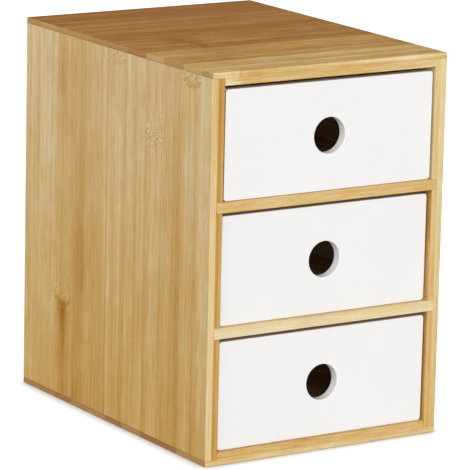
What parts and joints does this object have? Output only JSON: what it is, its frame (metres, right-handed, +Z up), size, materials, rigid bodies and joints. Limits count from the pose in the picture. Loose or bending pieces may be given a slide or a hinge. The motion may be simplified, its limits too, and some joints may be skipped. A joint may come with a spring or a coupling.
{
  "type": "desktop mini drawers",
  "caption": "Small free-standing bamboo cabinet with sliding white drawers, each pulled by a round finger hole, for keeping craft parts and stationery on a desk.",
  "frame": {"origin": "middle of the underside of the cabinet", "axes": "+Z up, the drawer fronts face -Y, +X to the right as seen from the front"},
  "size_m": [0.151, 0.2, 0.215],
  "materials": {
    "cabinet_bamboo": "clear lacquered bamboo, satin",
    "back_panel_ply": "bamboo ply, satin",
    "front_lacquer": "white lacquer, satin",
    "drawer_bamboo": "bamboo, satin",
    "drawer_bottom_ply": "thin ply, matt",
    "brad_steel": "plain steel"
  },
  "bodies": {
    "cabinet": {"top_panel": "cabinet_bamboo", "bottom_panel": "cabinet_bamboo", "left_side": "cabinet_bamboo", "right_side": "cabinet_bamboo", "upper_shelf": "cabinet_bamboo", "lower_shelf": "cabinet_bamboo", "back_panel": "back_panel_ply"},
    "drawer_1": {"drawer_1_front": "front_lacquer", "drawer_1_left_side": "drawer_bamboo", "drawer_1_right_side": "drawer_bamboo", "drawer_1_back": "drawer_bamboo", "drawer_1_bottom": "drawer_bottom_ply", "drawer_1_brads": "brad_steel"},
    "drawer_2": {"drawer_2_front": "front_lacquer", "drawer_2_left_side": "drawer_bamboo", "drawer_2_right_side": "drawer_bamboo", "drawer_2_back": "drawer_bamboo", "drawer_2_bottom": "drawer_bottom_ply", "drawer_2_brads": "brad_steel"},
    "drawer_3": {"drawer_3_front": "front_lacquer", "drawer_3_left_side": "drawer_bamboo", "drawer_3_right_side": "drawer_bamboo", "drawer_3_back": "drawer_bamboo", "drawer_3_bottom": "drawer_bottom_ply", "drawer_3_brads": "brad_steel"}
  },
  "joints": [
    {"name": "drawer_1_slide", "type": "slide", "parent": "cabinet", "child": "drawer_1", "axis": [0, -1, 0], "range_m": [-0.0018, 0.1382]},
    {"name": "drawer_2_slide", "type": "slide", "parent": "cabinet", "child": "drawer_2", "axis": [0, -1, 0], "range_m": [0, 0.14]},
    {"name": "drawer_3_slide", "type": "slide", "parent": "cabinet", "child": "drawer_3", "axis": [0, -1, 0], "range_m": [-0.0009, 0.1391]}
  ]
}
